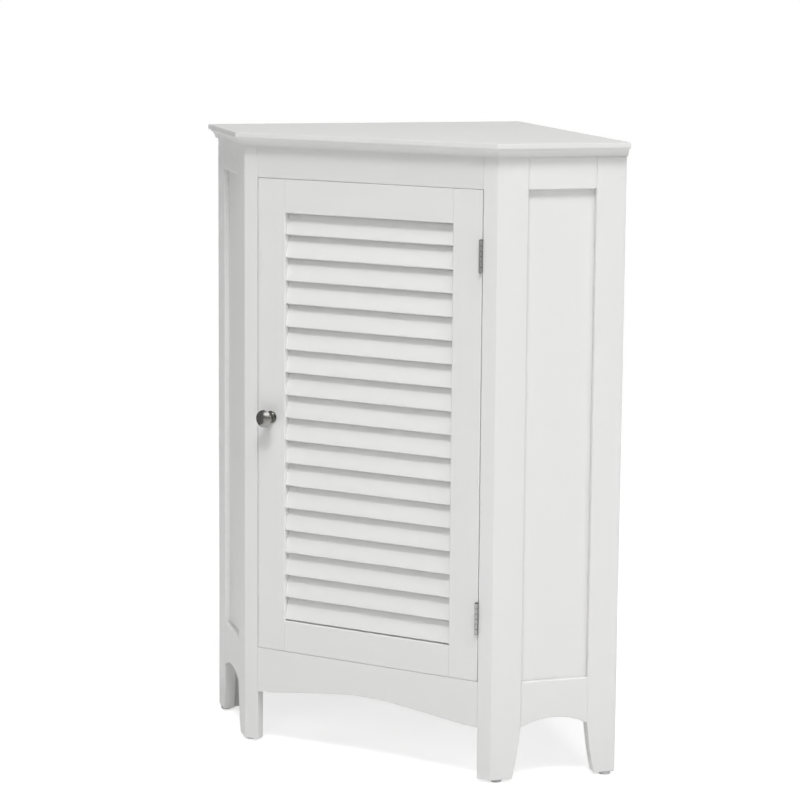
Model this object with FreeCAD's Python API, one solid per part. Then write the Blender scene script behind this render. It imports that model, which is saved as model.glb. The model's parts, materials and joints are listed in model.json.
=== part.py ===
import FreeCAD, Part
import math
import os

# Corner cabinet on tapered legs with one louvred door, in millimetres.
# The pieces are drawn with the front face on y = 0, x to the right and z up from the floor.
# Each side face turns back 45 degrees from the front, so it stands square to the wall behind it.
# A side's own axes are x back along its face from the front corner and y into the cabinet.

# Whole cabinet
FRONT_WIDTH = 370.0
SIDE_DEPTH = 168.0
HEIGHT = 814.0

# Moulded top
TOP_THICKNESS = 18.0
TOP_OVERHANG = 13.5
FASCIA_HEIGHT = 6.5
COVE_HOLLOW = 1.8
FILLET_HEIGHT = 1.0
FILLET_PROUD = 3.6

# Posts, stiles, legs and rails
POST_FACE = 20.0
POST_SIDE = 40.0
POST_THICKNESS = 24.0
STILE_WIDTH = 39.0
FRAME_THICKNESS = 16.0
FRONT_THICKNESS = 18.0
TOP_RAIL_HEIGHT = 40.0
BOTTOM_RAIL_HEIGHT = 60.0
LEG_CLEARANCE = 71.0
LEG_FOOT = 29.0
LEG_BULGE = 1.2
APRON_SLOPE = 6.9
APRON_FOOT_RUN = 25.0
APRON_CROWN_RUN = 50.0
SIDE_ARCH_RISE = 10.7

# Side panels in their grooves
PANEL_THICKNESS = 5.0
PANEL_RECESS = 7.0
PANEL_PLAY = 0.1
GROOVE_DEPTH = 6.0
GROOVE_END_PLAY = 0.5

# Back panels, battens and corner post
BACK_THICKNESS = 6.0
BATTEN_WIDTH = 16.0
BATTEN_DEPTH = 16.0
CORNER_POST = 30.0
BACK_REBATE = 12.0

# Bottom board and shelf
BOTTOM_THICKNESS = 15.0
SHELF_THICKNESS = 15.0
SHELF_LEVEL = 440.0
SHELF_SETBACK = 12.0
SHELF_CLEARANCE = 1.5

# Shelf pins and their rows of holes
PIN_RADIUS = 2.5
PIN_SHANK = 9.0
PIN_TONGUE_LENGTH = 9.0
PIN_TONGUE_WIDTH = 8.0
PIN_TONGUE_THICKNESS = 3.0
PIN_HOLE_SPARE = 1.0
PIN_ROW_PITCH = 32.0

# Dowels in the frame and the door
DOWEL_RADIUS = 3.0
DOWEL_LENGTH = 24.0
DOWEL_MARGIN = 12.0
DOWEL_END_SPARE = 0.5
DOWEL_COVER = 1.0
BOARD_DOWEL_OFFSET = 70.0
BORE_CLEARANCE = 0.05

# Foot glides
GLIDE_HEIGHT = 4.5
GLIDE_RADIUS = 7.5
GLIDE_BEVEL = 0.8
GLIDE_NAIL_RADIUS = 1.2
GLIDE_NAIL_LENGTH = 14.0
FRONT_GLIDE_BACK = 11.5
REAR_GLIDE_INSET = 11.0

# Door frame and louvres
DOOR_THICKNESS = 18.0
DOOR_SIDE_GAP = 1.0
DOOR_END_GAP = 0.5
DOOR_STILE = 41.0
DOOR_TOP_RAIL = 43.5
DOOR_BOTTOM_RAIL = 41.0
SLAT_COUNT = 18
SLAT_THICKNESS = 5.5
SLAT_EDGE = 1.0
SLAT_OVERLAP = 5.0
SLAT_RECESS = 2.5
SLAT_BACK_RECESS = 0.5
SLAT_SEAT = 6.0
SLAT_GAP = 0.4
SLAT_CLEARANCE = 0.15

# Butt hinges
HINGE_HEIGHT = 40.0
HINGE_INSET = 62.0
HINGE_KNUCKLES = 6
HINGE_KNUCKLE_GAP = 0.8
HINGE_BARREL_RADIUS = 2.3
HINGE_AXIS_PROUD = 2.7
HINGE_RELIEF = 0.35
HINGE_PIN_RADIUS = 1.2
HINGE_PIN_HEAD_RADIUS = 2.0
HINGE_PIN_HEAD_HEIGHT = 0.9
HINGE_LEAF_WIDTH = 11.0
HINGE_LEAF_THICKNESS = 1.2
HINGE_LEAF_GAP = 0.8
HINGE_MORTISE_PLAY = 0.2
HINGE_SCREW_SPREAD = 24.0

# Small countersunk screws of the hinges, catch and strike plate
SCREW_HEAD_RADIUS = 2.3
SCREW_RADIUS = 1.3
SCREW_LENGTH = 10.0

# Back panel screws
BACK_SCREW_HEAD_RADIUS = 3.5
BACK_SCREW_RADIUS = 1.6
BACK_SCREW_LENGTH = 14.0
BACK_SCREW_ROWS = 4
BACK_SCREW_MARGIN = 20.0

# Angle brackets under the top and their pan-head screws
BRACKET_LEG = 20.0
BRACKET_WIDTH = 16.0
BRACKET_THICKNESS = 1.5
BRACKET_HOLE = 12.0
BRACKET_OFFSET = 100.0
PAN_HEAD_RADIUS = 3.3
PAN_HEAD_HEIGHT = 2.0
PAN_RADIUS = 1.7
PAN_LENGTH = 11.0

# Knob and its screw
KNOB_BASE_RADIUS = 8.0
KNOB_BASE_HEIGHT = 2.0
KNOB_NECK_RADIUS = 5.0
KNOB_NECK_OUT = 8.0
KNOB_HEAD_RADIUS = 11.7
KNOB_HEAD_OUT = 16.5
KNOB_RIM = 1.8
KNOB_PROJECTION = 22.0
KNOB_SCREW_RADIUS = 2.0
KNOB_SCREW_HEAD_RADIUS = 4.0
KNOB_SCREW_HEAD_HEIGHT = 2.4
KNOB_SCREW_BITE = 9.0
KNOB_HOLE_CLEARANCE = 0.25

# Magnetic catch on the bottom board and its strike plate on the door
CATCH_OFFSET = 98.0
CATCH_WIDTH = 28.0
CATCH_DEPTH = 16.0
CATCH_HEIGHT = 12.0
CATCH_EAR = 9.0
CATCH_EAR_THICKNESS = 3.0
CATCH_GAP = 0.3
MAGNET_WALL = 3.0
MAGNET_DEPTH = 11.0
MAGNET_PROUD = 0.5
STRIKE_WIDTH = 30.0
STRIKE_HEIGHT = 12.0
STRIKE_THICKNESS = 1.2
STRIKE_MARGIN = 1.0

# Lines that several pieces share
SIDE_ANGLE = 45.0
DIAGONAL = math.sqrt(0.5)
HALF_FRONT = FRONT_WIDTH / 2
WALL_LENGTH = SIDE_DEPTH + FRONT_WIDTH * DIAGONAL
APEX_Y = HALF_FRONT + 2 * SIDE_DEPTH * DIAGONAL
ORIGIN_Y = (APEX_Y - max(KNOB_PROJECTION, TOP_OVERHANG)) / 2
REACH = FRONT_WIDTH + 3 * SIDE_DEPTH

TOP_UNDERSIDE = HEIGHT - TOP_THICKNESS
OPENING_TOP = TOP_UNDERSIDE - TOP_RAIL_HEIGHT
OPENING_BOTTOM = LEG_CLEARANCE + BOTTOM_RAIL_HEIGHT
OPENING_HALF = HALF_FRONT - POST_FACE
BOTTOM_UNDERSIDE = OPENING_BOTTOM - BOTTOM_THICKNESS
POST_INNER_DEPTH = POST_THICKNESS / DIAGONAL - POST_FACE

STILE_EDGE = SIDE_DEPTH - STILE_WIDTH
RAIL_MIDDLE = (POST_SIDE + STILE_EDGE) / 2
BACK_FACE = SIDE_DEPTH - BACK_THICKNESS
BATTEN_FACE = FRAME_THICKNESS + BATTEN_DEPTH
BATTEN_MIDDLE = BACK_FACE - BATTEN_WIDTH / 2
CORNER_FACE = WALL_LENGTH - CORNER_POST
CORNER_MIDDLE = (SIDE_DEPTH - CORNER_POST + BACK_FACE) / 2

DOOR_HALF = OPENING_HALF - DOOR_SIDE_GAP
DOOR_LOW = OPENING_BOTTOM + DOOR_END_GAP
DOOR_HIGH = OPENING_TOP - DOOR_END_GAP
LOUVRE_HALF = DOOR_HALF - DOOR_STILE
LOUVRE_LOW = DOOR_LOW + DOOR_BOTTOM_RAIL
LOUVRE_HIGH = DOOR_HIGH - DOOR_TOP_RAIL
SLAT_PITCH = (LOUVRE_HIGH - LOUVRE_LOW) / SLAT_COUNT
SLAT_HEIGHT = SLAT_PITCH + SLAT_OVERLAP
KNOB_X = -(DOOR_HALF - DOOR_STILE / 2)
KNOB_Z = (DOOR_LOW + DOOR_HIGH) / 2

HINGE_X = OPENING_HALF - HINGE_LEAF_THICKNESS - HINGE_LEAF_GAP / 2
HINGE_STARTS = (DOOR_LOW + HINGE_INSET, DOOR_HIGH - HINGE_INSET - HINGE_HEIGHT)
KNUCKLE_HEIGHT = HINGE_HEIGHT / HINGE_KNUCKLES

STRIKE_BACK = DOOR_THICKNESS + STRIKE_THICKNESS
MAGNET_FACE = STRIKE_BACK + CATCH_GAP
CATCH_FACE = MAGNET_FACE + MAGNET_PROUD

V = FreeCAD.Vector
RIGHT = V(1, 0, 0)
BACK = V(0, 1, 0)
UP = V(0, 0, 1)


def prism(outline, low, high):
    """Upright solid on a closed outline of plan points."""
    corners = [V(x, y, low) for x, y in outline]
    face = Part.Face(Part.makePolygon(corners + corners[:1]))
    return face.extrude(UP * (high - low))


def rectangle(x_low, x_high, y_low, y_high):
    """Corners of an upright-sided plan rectangle."""
    return [(x_low, y_low), (x_high, y_low), (x_high, y_high), (x_low, y_high)]


def block(x_low, x_high, y_low, y_high, z_low, z_high):
    """Box between two corners."""
    return Part.makeBox(x_high - x_low, y_high - y_low, z_high - z_low, V(x_low, y_low, z_low))


def rod(radius, start, end):
    """Round bar between two points."""
    axis = end - start
    return Part.makeCylinder(radius, axis.Length, start, axis)


def quarter_arc(start, end, centre):
    """Quarter turn from start to end about a centre that is square to both."""
    middle = centre + (start - centre + end - centre) * DIAGONAL
    return Part.Arc(start, middle, end).toShape()


def line(start, end):
    """Straight edge."""
    return Part.LineSegment(start, end).toShape()


def placed(shape, angle, at):
    """Copy of a shape, turned about the upright axis and then moved."""
    moved = shape.copy()
    moved.rotate(V(), UP, angle)
    moved.translate(at)
    return moved


def on_side(shape):
    """Copy of a shape drawn in a side's own axes, put on the right side."""
    return placed(shape, SIDE_ANGLE, RIGHT * HALF_FRONT)


def mirrored(shape):
    """Left-hand copy of a right-hand shape."""
    return shape.mirror(V(), RIGHT)


def with_mirror(shapes):
    """Right-hand shapes followed by their left-hand copies."""
    return shapes + [mirrored(shape) for shape in shapes]


def carve(shape, tools):
    """One solid, with the tools cut away and flush faces joined."""
    return shape.cut(tools).removeSplitter().Solids[0]


def join(first, *others):
    """One solid made of several, with flush faces joined."""
    return first.fuse(others).removeSplitter().Solids[0]


# Fasteners

def countersunk(at, direction, head_radius, radius, length, spare=0.0):
    """Countersunk screw whose flat head lies at a point, or its hole when it has spare room."""
    wide = head_radius + spare
    narrow = radius + spare
    head = Part.makeCone(wide, narrow, wide - narrow, at, direction)
    return join(head, Part.makeCylinder(narrow, length + spare, at, direction))


def small_screw(at, direction, spare=0.0):
    """Screw of the hinges, catch and strike plate."""
    return countersunk(at, direction, SCREW_HEAD_RADIUS, SCREW_RADIUS, SCREW_LENGTH, spare)


def dowel(spare=0.0, end_spare=0.0):
    """Wooden dowel along x with its middle at the origin, or its bore when it has spare room."""
    end = RIGHT * (DOWEL_LENGTH / 2 + end_spare)
    return rod(DOWEL_RADIUS + spare, -end, end)


def dowel_bore():
    """Bore for one dowel."""
    return dowel(BORE_CLEARANCE, DOWEL_END_SPARE)


def dowel_heights(low, high):
    """Heights of the two dowels of a joint."""
    return (low + DOWEL_MARGIN, high - DOWEL_MARGIN)


def frame_dowels(peg):
    """A peg at every dowel joint of the carcass."""
    pegs = []
    for low, high in ((LEG_CLEARANCE, OPENING_BOTTOM), (OPENING_TOP, TOP_UNDERSIDE)):
        for z in dowel_heights(low, high):
            pegs.append(placed(peg, 0, V(OPENING_HALF, POST_INNER_DEPTH / 2, z)))
            pegs.append(on_side(placed(peg, 0, V(POST_SIDE, FRAME_THICKNESS / 2, z))))
            pegs.append(on_side(placed(peg, 0, V(STILE_EDGE, FRAME_THICKNESS / 2, z))))
    board_z = OPENING_BOTTOM - GROOVE_DEPTH - DOWEL_COVER - DOWEL_RADIUS
    pegs.append(placed(peg, 90, V(BOARD_DOWEL_OFFSET, FRONT_THICKNESS, board_z)))
    pegs.append(on_side(placed(peg, 90, V(RAIL_MIDDLE, FRAME_THICKNESS, board_z))))
    return with_mirror(pegs)


def door_dowels(peg):
    """A peg at every dowel joint of the door frame."""
    top_heights = dowel_heights(LOUVRE_HIGH, DOOR_HIGH)
    bottom_heights = dowel_heights(DOOR_LOW, LOUVRE_LOW)
    pegs = [placed(peg, 0, V(LOUVRE_HALF, DOOR_THICKNESS / 2, z)) for z in top_heights + bottom_heights]
    return with_mirror(pegs)


def back_screws(spare=0.0):
    """Screws that hold the back panels to the battens and the corner post."""
    low = BOTTOM_UNDERSIDE + BACK_SCREW_MARGIN
    step = (TOP_UNDERSIDE - BACK_SCREW_MARGIN - low) / (BACK_SCREW_ROWS - 1)
    across = (FRAME_THICKNESS + BATTEN_DEPTH / 2, CORNER_FACE + BACK_REBATE / 2)
    screws = []
    for y in across:
        for row in range(BACK_SCREW_ROWS):
            at = V(SIDE_DEPTH, y, low + row * step)
            screws.append(on_side(countersunk(at, -RIGHT, BACK_SCREW_HEAD_RADIUS, BACK_SCREW_RADIUS,
                                              BACK_SCREW_LENGTH, spare)))
    return with_mirror(screws)


def at_brackets(shape):
    """Copies of a shape at each bracket under the top, from one drawn behind a face on y = 0."""
    spots = [
        placed(shape, 0, V(BRACKET_OFFSET, FRONT_THICKNESS, TOP_UNDERSIDE)),
        on_side(placed(shape, 0, V(RAIL_MIDDLE, FRAME_THICKNESS, TOP_UNDERSIDE))),
        on_side(placed(shape, 180, V(CORNER_MIDDLE, CORNER_FACE, TOP_UNDERSIDE))),
    ]
    return with_mirror(spots)


def bracket():
    """Steel angle with a hole in each leg."""
    half = BRACKET_WIDTH / 2
    upright = block(-half, half, 0, BRACKET_THICKNESS, -BRACKET_LEG, 0)
    flat = block(-half, half, 0, BRACKET_LEG, -BRACKET_THICKNESS, 0)
    return carve(join(upright, flat), bracket_screws(BORE_CLEARANCE))


def bracket_screws(spare=0.0):
    """The two pan-head screws of one bracket, or their holes when they have spare room."""
    screws = []
    into_rail = (V(0, BRACKET_THICKNESS, -BRACKET_HOLE), -BACK)
    into_top = (V(0, BRACKET_HOLE, -BRACKET_THICKNESS), UP)
    for seat, direction in (into_rail, into_top):
        head = Part.makeCylinder(PAN_HEAD_RADIUS, PAN_HEAD_HEIGHT, seat, -direction)
        shank = Part.makeCylinder(PAN_RADIUS + spare, PAN_LENGTH + spare, seat, direction)
        screws.append(join(head, shank))
    return screws


def bracket_holes():
    """Pilot holes of all the bracket screws."""
    return at_brackets(Part.makeCompound(bracket_screws(BORE_CLEARANCE)))


def at_pins(shape):
    """Copies of a shape at each shelf pin, from one drawn on a face on y = 0 at the pin's own height."""
    level = UP * (SHELF_LEVEL - PIN_RADIUS)
    spots = [
        on_side(placed(shape, 0, V(POST_SIDE / 2, POST_THICKNESS, 0) + level)),
        on_side(placed(shape, 0, V(BATTEN_MIDDLE, BATTEN_FACE, 0) + level)),
        on_side(placed(shape, 180, V(CORNER_MIDDLE, CORNER_FACE, 0) + level)),
    ]
    return with_mirror(spots)


def shelf_pin():
    """Pin with a flat tongue that carries the shelf."""
    shank = rod(PIN_RADIUS, -BACK * PIN_SHANK, BACK * PIN_RADIUS)
    half = PIN_TONGUE_WIDTH / 2
    tongue = block(-half, half, 0, PIN_TONGUE_LENGTH, PIN_RADIUS - PIN_TONGUE_THICKNESS, PIN_RADIUS)
    return join(shank, tongue)


def pin_holes():
    """Three holes, one above another, for a shelf pin."""
    depth = -BACK * (PIN_SHANK + PIN_HOLE_SPARE)
    holes = [rod(PIN_RADIUS + BORE_CLEARANCE, depth + UP * rise, UP * rise)
             for rise in (-PIN_ROW_PITCH, 0, PIN_ROW_PITCH)]
    return Part.makeCompound(holes)


def glide(spare=0.0):
    """Round foot glide with a nail, or only its nail's hole when it has spare room."""
    tip = UP * (GLIDE_HEIGHT + GLIDE_NAIL_LENGTH + spare)
    nail = rod(GLIDE_NAIL_RADIUS + spare, UP * GLIDE_HEIGHT, tip)
    if spare:
        return nail
    bevel = Part.makeCone(GLIDE_RADIUS - GLIDE_BEVEL, GLIDE_RADIUS, GLIDE_BEVEL)
    disc = rod(GLIDE_RADIUS, UP * GLIDE_BEVEL, UP * GLIDE_HEIGHT)
    return join(bevel, disc, nail)


def at_feet(shape):
    """Copies of a shape under each front post and rear stile, and one under the corner post."""
    spots = [
        on_side(placed(shape, 0, V(FRONT_GLIDE_BACK, POST_THICKNESS / 2, 0))),
        on_side(placed(shape, 0, V(SIDE_DEPTH - REAR_GLIDE_INSET, FRAME_THICKNESS / 2, 0))),
    ]
    corner = on_side(placed(shape, 0, V(SIDE_DEPTH - CORNER_POST / 2, WALL_LENGTH - CORNER_POST / 2, 0)))
    return with_mirror(spots) + [corner]


# Carcass

def moulded_slab():
    """Wide board whose front edge carries the moulding: a fascia, a shallow cove and a narrow fillet."""
    back_low = V(-REACH, REACH, TOP_UNDERSIDE)
    back_high = V(-REACH, REACH, HEIGHT)
    fillet_low = V(-REACH, -FILLET_PROUD, TOP_UNDERSIDE)
    fillet_high = V(-REACH, -FILLET_PROUD, TOP_UNDERSIDE + FILLET_HEIGHT)
    fascia_low = V(-REACH, -TOP_OVERHANG, HEIGHT - FASCIA_HEIGHT)
    fascia_high = V(-REACH, -TOP_OVERHANG, HEIGHT)
    inwards = (fascia_low - fillet_high).cross(RIGHT).normalize()
    cove_middle = (fascia_low + fillet_high) / 2 + inwards * COVE_HOLLOW
    edges = [
        line(back_low, fillet_low),
        line(fillet_low, fillet_high),
        Part.Arc(fillet_high, cove_middle, fascia_low).toShape(),
        line(fascia_low, fascia_high),
        line(fascia_high, back_high),
        line(back_high, back_low),
    ]
    return Part.Face(Part.Wire(edges)).extrude(RIGHT * 2 * REACH)


def top_board():
    """Five-sided top, moulded along the front and sides and flush with the two walls."""
    front = moulded_slab()
    right = on_side(front)
    span = 2 * REACH
    walls = prism([(0, APEX_Y), (-span, APEX_Y - span), (span, APEX_Y - span)], 0, HEIGHT)
    return carve(front.common(right).common(mirrored(right)).common(walls), bracket_holes())


def leg_wedge(edge, foot, bulge):
    """Wood taken off a leg's inner edge, which curves gently from the rail down to the foot."""
    high = V(edge, 0, LEG_CLEARANCE)
    low = V(foot, 0, GLIDE_HEIGHT)
    middle = (high + low) / 2 + RIGHT * bulge
    corner = V(edge, 0, GLIDE_HEIGHT)
    outline = Part.Wire([Part.Arc(high, middle, low).toShape(), line(low, corner), line(corner, high)])
    return Part.Face(outline).extrude(BACK * POST_THICKNESS)


def side_panel(tongue, play):
    """Flat panel that reaches a tongue's length into the frame round it."""
    back = PANEL_RECESS + PANEL_THICKNESS
    return block(POST_SIDE - tongue, STILE_EDGE + tongue, PANEL_RECESS - play, back + play,
                 OPENING_BOTTOM - tongue, OPENING_TOP + tongue)


def panel_groove():
    """Groove in the side frame, all round the panel."""
    return side_panel(GROOVE_DEPTH, PANEL_PLAY)


def post_plan():
    """Five corners of a front post in a side's own axes."""
    slant = POST_FACE * DIAGONAL
    return [(0, 0), (POST_SIDE, 0), (POST_SIDE, POST_THICKNESS),
            (POST_THICKNESS - 2 * slant, POST_THICKNESS), (-slant, slant)]


def batten_plan():
    """Corners of a rear batten in a side's own axes."""
    return rectangle(BACK_FACE - BATTEN_WIDTH, BACK_FACE, FRAME_THICKNESS, BATTEN_FACE)


def corner_plan():
    """Corners of the corner post in a side's own axes."""
    return rectangle(SIDE_DEPTH - CORNER_POST, SIDE_DEPTH, CORNER_FACE, WALL_LENGTH)


def front_post():
    """Five-sided front post whose lower end is a tapered leg."""
    wood = prism(post_plan(), GLIDE_HEIGHT, TOP_UNDERSIDE)
    return carve(wood, [leg_wedge(POST_SIDE, LEG_FOOT, LEG_BULGE), panel_groove()])


def rear_stile():
    """Rear stile of a side frame, also a tapered leg."""
    wood = block(STILE_EDGE, SIDE_DEPTH, 0, FRAME_THICKNESS, GLIDE_HEIGHT, TOP_UNDERSIDE)
    return carve(wood, [leg_wedge(STILE_EDGE, SIDE_DEPTH - LEG_FOOT, -LEG_BULGE), panel_groove()])


def rear_batten():
    """Batten behind a rear stile that takes the edge of the back panel."""
    return prism(batten_plan(), GLIDE_HEIGHT, TOP_UNDERSIDE)


def corner_post():
    """Square post in the room's corner, rebated for both back panels."""
    wood = prism(corner_plan(), GLIDE_HEIGHT, TOP_UNDERSIDE)
    rebate = on_side(block(BACK_FACE, SIDE_DEPTH, CORNER_FACE, CORNER_FACE + BACK_REBATE,
                           BOTTOM_UNDERSIDE, TOP_UNDERSIDE))
    return carve(on_side(wood), [rebate, mirrored(rebate)])


def side_top_rail():
    """Upper rail of a side frame."""
    wood = block(POST_SIDE, STILE_EDGE, 0, FRAME_THICKNESS, OPENING_TOP, TOP_UNDERSIDE)
    return carve(wood, [panel_groove()])


def side_bottom_rail():
    """Lower rail of a side frame, arched between the legs."""
    front = V(POST_SIDE, 0, LEG_CLEARANCE)
    back = V(STILE_EDGE, 0, LEG_CLEARANCE)
    crown = V(RAIL_MIDDLE, 0, LEG_CLEARANCE + SIDE_ARCH_RISE)
    arch = Part.Face(Part.Wire([Part.Arc(front, crown, back).toShape(), line(back, front)]))
    wood = block(POST_SIDE, STILE_EDGE, 0, FRAME_THICKNESS, LEG_CLEARANCE, OPENING_BOTTOM)
    return carve(wood, [arch.extrude(BACK * FRAME_THICKNESS), panel_groove()])


def back_panel():
    """Thin panel along one wall, from the rear stile to the corner post."""
    return block(BACK_FACE, SIDE_DEPTH, FRAME_THICKNESS, CORNER_FACE + BACK_REBATE,
                 BOTTOM_UNDERSIDE, TOP_UNDERSIDE)


def front_top_rail():
    """Rail above the door."""
    return block(-OPENING_HALF, OPENING_HALF, 0, FRONT_THICKNESS, OPENING_TOP, TOP_UNDERSIDE)


def front_apron():
    """Rail under the door, whose lower edge rises in straight flanks from rounded feet to a round crown."""
    slope = math.radians(APRON_SLOPE)
    half_rise = math.tan(slope / 2)
    flank_run = OPENING_HALF - APRON_FOOT_RUN - APRON_CROWN_RUN
    flank_low = LEG_CLEARANCE + APRON_FOOT_RUN * half_rise
    flank_high = flank_low + flank_run * math.tan(slope)
    foot_radius = APRON_FOOT_RUN / math.sin(slope)
    foot_sag = foot_radius * (1 - math.cos(slope / 2))
    foot_middle = OPENING_HALF - foot_radius * math.sin(slope / 2)

    foot = V(OPENING_HALF, 0, LEG_CLEARANCE)
    turn = V(foot_middle, 0, LEG_CLEARANCE + foot_sag)
    flank_foot = V(OPENING_HALF - APRON_FOOT_RUN, 0, flank_low)
    flank_head = V(APRON_CROWN_RUN, 0, flank_high)
    crown = V(0, 0, flank_high + APRON_CROWN_RUN * half_rise)
    top = V(OPENING_HALF, 0, OPENING_BOTTOM)

    def left(point):
        return V(-point.x, 0, point.z)

    edges = [
        line(top, foot),
        Part.Arc(foot, turn, flank_foot).toShape(),
        line(flank_foot, flank_head),
        Part.Arc(flank_head, crown, left(flank_head)).toShape(),
        line(left(flank_head), left(flank_foot)),
        Part.Arc(left(flank_foot), left(turn), left(foot)).toShape(),
        line(left(foot), left(top)),
        line(left(top), top),
    ]
    return Part.Face(Part.Wire(edges)).extrude(BACK * FRONT_THICKNESS)


def board_outline(front_y, side_inset, back_line):
    """Five corners of a board inside the carcass, from its front, side and back lines."""
    front_x = HALF_FRONT + front_y - side_inset / DIAGONAL
    rear_x = HALF_FRONT + (back_line - side_inset) * DIAGONAL
    rear_y = (back_line + side_inset) * DIAGONAL
    apex = HALF_FRONT + back_line / DIAGONAL
    return [(-front_x, front_y), (front_x, front_y), (rear_x, rear_y), (0, apex), (-rear_x, rear_y)]


def grown(outline, by, low, high):
    """Upright solid on a plan outline that is grown outwards all round."""
    corners = [V(x, y, low) for x, y in outline]
    wire = Part.makePolygon(corners + corners[:1])
    return Part.Face(wire.makeOffset2D(by, 2)).extrude(UP * (high - low))


def bottom_board(uprights):
    """Floor of the cupboard, notched round the uprights."""
    outline = board_outline(FRONT_THICKNESS, FRAME_THICKNESS, BACK_FACE)
    return carve(prism(outline, BOTTOM_UNDERSIDE, OPENING_BOTTOM), uprights)


def shelf_board():
    """Loose shelf, notched clear of the uprights."""
    inset = max(PANEL_RECESS + PANEL_THICKNESS, FRAME_THICKNESS) + SHELF_CLEARANCE
    outline = board_outline(DOOR_THICKNESS + SHELF_SETBACK, inset, BACK_FACE - SHELF_CLEARANCE)
    high = SHELF_LEVEL + SHELF_THICKNESS
    plans = (post_plan(), batten_plan(), corner_plan())
    notches = [on_side(grown(plan, SHELF_CLEARANCE, SHELF_LEVEL, high)) for plan in plans]
    return carve(prism(outline, SHELF_LEVEL, high), with_mirror(notches))


# Door

def slat(low, half_length, spare):
    """Flat slat with eased edges that leans back from its low front edge, or its slot with spare room."""
    inset = SLAT_THICKNESS / 2 - SLAT_EDGE
    reach = inset / DIAGONAL + SLAT_EDGE
    front = V(-half_length, SLAT_RECESS + reach, low + reach)
    back = V(-half_length, DOOR_THICKNESS - SLAT_BACK_RECESS - reach, low + SLAT_HEIGHT - reach)
    along = (back - front).normalize() * inset
    across = RIGHT.cross(along)
    core = [back + along + across, back + along - across, front - along - across, front - along + across]
    outline = Part.makePolygon(core + core[:1]).makeOffset2D(SLAT_EDGE + spare)
    return Part.Face(outline).extrude(RIGHT * 2 * half_length)


def slat_lows():
    """Height of each slat's low edge, from the bottom up."""
    return [LOUVRE_LOW + SLAT_GAP + index * SLAT_PITCH for index in range(SLAT_COUNT)]


def door_stile():
    """Right-hand door stile with an angled slot for each slat."""
    wood = block(LOUVRE_HALF, DOOR_HALF, 0, DOOR_THICKNESS, DOOR_LOW, DOOR_HIGH)
    slots = [slat(low, LOUVRE_HALF + SLAT_SEAT + SLAT_CLEARANCE, SLAT_CLEARANCE) for low in slat_lows()]
    return carve(wood, slots + door_dowels(dowel_bore()))


def door_rail(low, high):
    """Door rail between the stiles."""
    wood = block(-LOUVRE_HALF, LOUVRE_HALF, 0, DOOR_THICKNESS, low, high)
    return carve(wood, door_dowels(dowel_bore()))


def door_top_rail():
    """Upper door rail, rebated behind for the top slat."""
    rebate = block(-LOUVRE_HALF, LOUVRE_HALF, DOOR_THICKNESS / 2, DOOR_THICKNESS,
                   LOUVRE_HIGH, LOUVRE_HIGH + SLAT_OVERLAP + SLAT_GAP + SLAT_CLEARANCE)
    return carve(door_rail(LOUVRE_HIGH, DOOR_HIGH), [rebate])


def knob():
    """Turned mushroom knob with a blind hole for its screw."""
    centre = V(KNOB_X, 0, KNOB_Z)
    rim_out = KNOB_HEAD_OUT + KNOB_RIM
    crown = KNOB_PROJECTION - rim_out
    cap_radius = (KNOB_HEAD_RADIUS ** 2 + crown ** 2) / (2 * crown)
    half_turn = math.asin(KNOB_HEAD_RADIUS / cap_radius) / 2

    def at(radius, out):
        return centre + V(radius, -out, 0)

    base = at(KNOB_BASE_RADIUS, 0)
    base_top = at(KNOB_BASE_RADIUS, KNOB_BASE_HEIGHT)
    neck = at(KNOB_NECK_RADIUS, KNOB_NECK_OUT)
    head = at(KNOB_HEAD_RADIUS, KNOB_HEAD_OUT)
    rim = at(KNOB_HEAD_RADIUS, rim_out)
    cap_depth = cap_radius * (1 - math.cos(half_turn))
    cap_middle = at(cap_radius * math.sin(half_turn), KNOB_PROJECTION - cap_depth)
    tip = at(0, KNOB_PROJECTION)
    edges = [
        line(centre, base),
        line(base, base_top),
        quarter_arc(base_top, neck, at(KNOB_BASE_RADIUS, KNOB_NECK_OUT)),
        quarter_arc(neck, head, at(KNOB_HEAD_RADIUS, KNOB_NECK_OUT)),
        line(head, rim),
        Part.Arc(rim, cap_middle, tip).toShape(),
        line(tip, centre),
    ]
    turned = Part.Face(Part.Wire(edges)).revolve(centre, BACK, 360)
    return carve(Part.makeSolid(turned.Shells[0]), [knob_screw_shank(BORE_CLEARANCE)])


def knob_screw_shank(spare):
    """Shank of the knob's screw, from the back of the door into the knob."""
    back = V(KNOB_X, DOOR_THICKNESS, KNOB_Z)
    return rod(KNOB_SCREW_RADIUS + spare, back, back - BACK * (DOOR_THICKNESS + KNOB_SCREW_BITE + spare))


def knob_screw():
    """Machine screw that holds the knob from inside the door."""
    back = V(KNOB_X, DOOR_THICKNESS, KNOB_Z)
    head = rod(KNOB_SCREW_HEAD_RADIUS, back, back + BACK * KNOB_SCREW_HEAD_HEIGHT)
    return join(head, knob_screw_shank(0))


# Hinges

def hinge_axis(z):
    """Point of the hinge axis at a height."""
    return V(HINGE_X, -HINGE_AXIS_PROUD, z)


def knuckles(start, first, radius, spare):
    """Every second knuckle of a hinge, from the bottom one or the next."""
    solids = []
    for index in range(first, HINGE_KNUCKLES, 2):
        low = start + index * KNUCKLE_HEIGHT + (HINGE_KNUCKLE_GAP / 2 if index else 0) - spare
        last = index == HINGE_KNUCKLES - 1
        high = start + (index + 1) * KNUCKLE_HEIGHT - (0 if last else HINGE_KNUCKLE_GAP / 2) + spare
        solids.append(rod(radius, hinge_axis(low), hinge_axis(high)))
    return solids


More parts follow.
